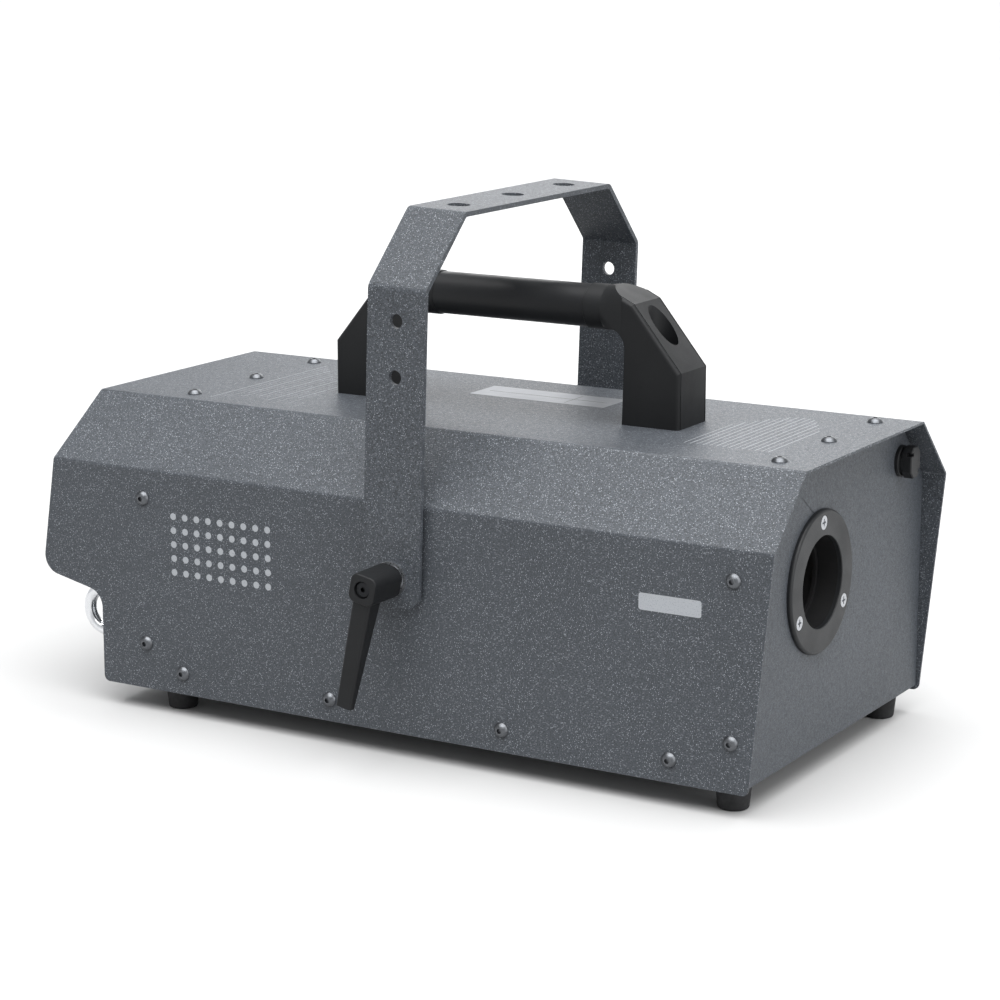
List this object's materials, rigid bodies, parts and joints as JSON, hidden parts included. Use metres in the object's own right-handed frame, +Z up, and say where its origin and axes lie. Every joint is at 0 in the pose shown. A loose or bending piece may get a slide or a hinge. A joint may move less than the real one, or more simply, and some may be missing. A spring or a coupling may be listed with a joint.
{
  "type": "fog machine",
  "caption": "Stage fog machine: folded sheet case with a side nozzle mouth, top carrying handle, tilting hanging yoke with clamp levers and a rear control panel.",
  "frame": {"origin": "on the floor under the feet, below the middle of the overall length and width", "axes": "+X points out of the nozzle end along the case, +Z is up, +Y is to the left seen from behind, looking towards the nozzle"},
  "size_m": [0.5188, 0.3236, 0.3306],
  "materials": {
    "case_paint": "fine-textured dark blue-grey powder coat",
    "yoke_paint": "fine-textured dark blue-grey powder coat",
    "handle_black": "satin black coat",
    "moulded_black": "fine moulded grain",
    "socket_black": "smooth moulded",
    "rocker_red": "smooth moulded",
    "button_grey": "soft matt",
    "window_smoke": "smoked clear window",
    "flange_black": "semi-gloss black coat",
    "sleeve_black": "matt heat-proof black",
    "dark_screw": "black nickel plate",
    "black_screw": "black oxide",
    "zinc_screw": "bright zinc plate",
    "bright_steel": "bright zinc plate",
    "spring_steel": "drawn wire",
    "plain_steel": "plain zinc-coated sheet",
    "foot_rubber": "matt moulded",
    "tank_plastic": "milky translucent, modelled opaque",
    "heater_alloy": "as cast",
    "insulation_fibre": "wrapped fibre",
    "brass": "turned",
    "coil_plastic": "encapsulated winding",
    "board_green": "circuit board",
    "hose_rubber": "smooth"
  },
  "bodies": {
    "machine": {"base_screws": "zinc_screw", "chassis_pan": "case_paint", "clinch_nuts": "zinc_screw", "control_bezel": "moulded_black", "control_board": "board_green", "cover_shell": "case_paint", "data_socket_in": "socket_black", "data_socket_out": "socket_black", "display_window": "window_smoke", "feed_hose": "hose_rubber", "feet": "foot_rubber", "filler_neck": "tank_plastic", "fluid_tank": "tank_plastic", "fog_nozzle": "brass", "front_panel": "case_paint", "front_vent_plug": "moulded_black", "handle_end_front": "moulded_black", "handle_end_rear": "moulded_black", "handle_screws": "dark_screw", "handle_tube": "handle_black", "heater_block": "heater_alloy", "heater_insulation": "insulation_fibre", "hex_nuts": "zinc_screw", "inner_brackets": "plain_steel", "nozzle_flange": "flange_black", "outlet_sleeve": "sleeve_black", "panel_screws": "zinc_screw", "pivot_brackets": "plain_steel", "pivot_studs": "bright_steel", "power_board": "board_green", "power_inlet": "socket_black", "pressure_hose": "hose_rubber", "pump_body": "brass", "pump_coil": "coil_plastic", "pump_spring": "spring_steel", "rear_panel": "case_paint", "safety_eye": "bright_steel", "side_screws": "dark_screw", "switch_frame": "moulded_black", "thermal_cutout": "plain_steel", "top_screws": "dark_screw", "wiring": "hose_rubber"},
    "yoke": {"yoke": "yoke_paint", "yoke_washers": "zinc_screw"},
    "near_insert": {"clamp_insert_near": "bright_steel", "lever_screw_near": "black_screw", "lever_spring_near": "spring_steel"},
    "near_lever": {"clamp_lever_near": "moulded_black"},
    "far_insert": {"clamp_insert_far": "bright_steel", "lever_screw_far": "black_screw", "lever_spring_far": "spring_steel"},
    "far_lever": {"clamp_lever_far": "moulded_black"},
    "menu_key": {"menu_button": "button_grey"},
    "up_key": {"up_button": "button_grey"},
    "down_key": {"down_button": "button_grey"},
    "enter_key": {"enter_button": "button_grey"},
    "rocker": {"switch_rocker": "rocker_red"},
    "drawer": {"fuse_drawer": "moulded_black"},
    "cap": {"filler_cap": "moulded_black"},
    "piston": {"pump_piston": "spring_steel"}
  },
  "joints": [
    {"name": "yoke_tilt", "type": "hinge", "parent": "machine", "child": "yoke", "pos_m": [0.0108, 0, 0.1125], "axis": [0, 1, 0], "range_deg": [-60, 56]},
    {"name": "near_turn", "type": "hinge", "parent": "machine", "child": "near_insert", "pos_m": [0.0108, -0.1376, 0.1125], "axis": [0, 1, 0], "range_deg": [0, 180]},
    {"name": "near_lift", "type": "slide", "parent": "near_insert", "child": "near_lever", "axis": [0, -1, 0], "range_m": [0, 0.0034], "stiffness_N_per_m": 500, "springref_m": -0.004, "deforming": ["lever_spring_near"]},
    {"name": "far_turn", "type": "hinge", "parent": "machine", "child": "far_insert", "pos_m": [0.0108, 0.1376, 0.1125], "axis": [0, 1, 0], "range_deg": [0, 180]},
    {"name": "far_lift", "type": "slide", "parent": "far_insert", "child": "far_lever", "axis": [0, 1, 0], "range_m": [0, 0.0034], "stiffness_N_per_m": 500, "springref_m": -0.004, "deforming": ["lever_spring_far"]},
    {"name": "menu_press", "type": "slide", "parent": "machine", "child": "menu_key", "axis": [1, 0, 0], "range_m": [0, 0.0008], "stiffness_N_per_m": 800, "springref_m": -0.001},
    {"name": "up_press", "type": "slide", "parent": "machine", "child": "up_key", "axis": [1, 0, 0], "range_m": [0, 0.0008], "stiffness_N_per_m": 800, "springref_m": -0.001},
    {"name": "down_press", "type": "slide", "parent": "machine", "child": "down_key", "axis": [1, 0, 0], "range_m": [0, 0.0008], "stiffness_N_per_m": 800, "springref_m": -0.001},
    {"name": "enter_press", "type": "slide", "parent": "machine", "child": "enter_key", "axis": [1, 0, 0], "range_m": [0, 0.0008], "stiffness_N_per_m": 800, "springref_m": -0.001},
    {"name": "switch_tip", "type": "hinge", "parent": "machine", "child": "rocker", "pos_m": [-0.2116, 0.022, 0.06], "axis": [0, 1, 0], "range_deg": [-20, 0]},
    {"name": "fuse_pull", "type": "slide", "parent": "machine", "child": "drawer", "axis": [-1, 0, 0], "range_m": [0, 0.015]},
    {"name": "cap_turn", "type": "hinge", "parent": "machine", "child": "cap", "pos_m": [-0.2126, 0.072, 0.137], "axis": [-0.8192, 0, 0.5736], "range_deg": [0, 120]},
    {"name": "piston_stroke", "type": "slide", "parent": "machine", "child": "piston", "axis": [1, 0, 0], "range_m": [0, 0.003], "stiffness_N_per_m": 300, "springref_m": -0.003, "deforming": ["pump_spring"]}
  ]
}
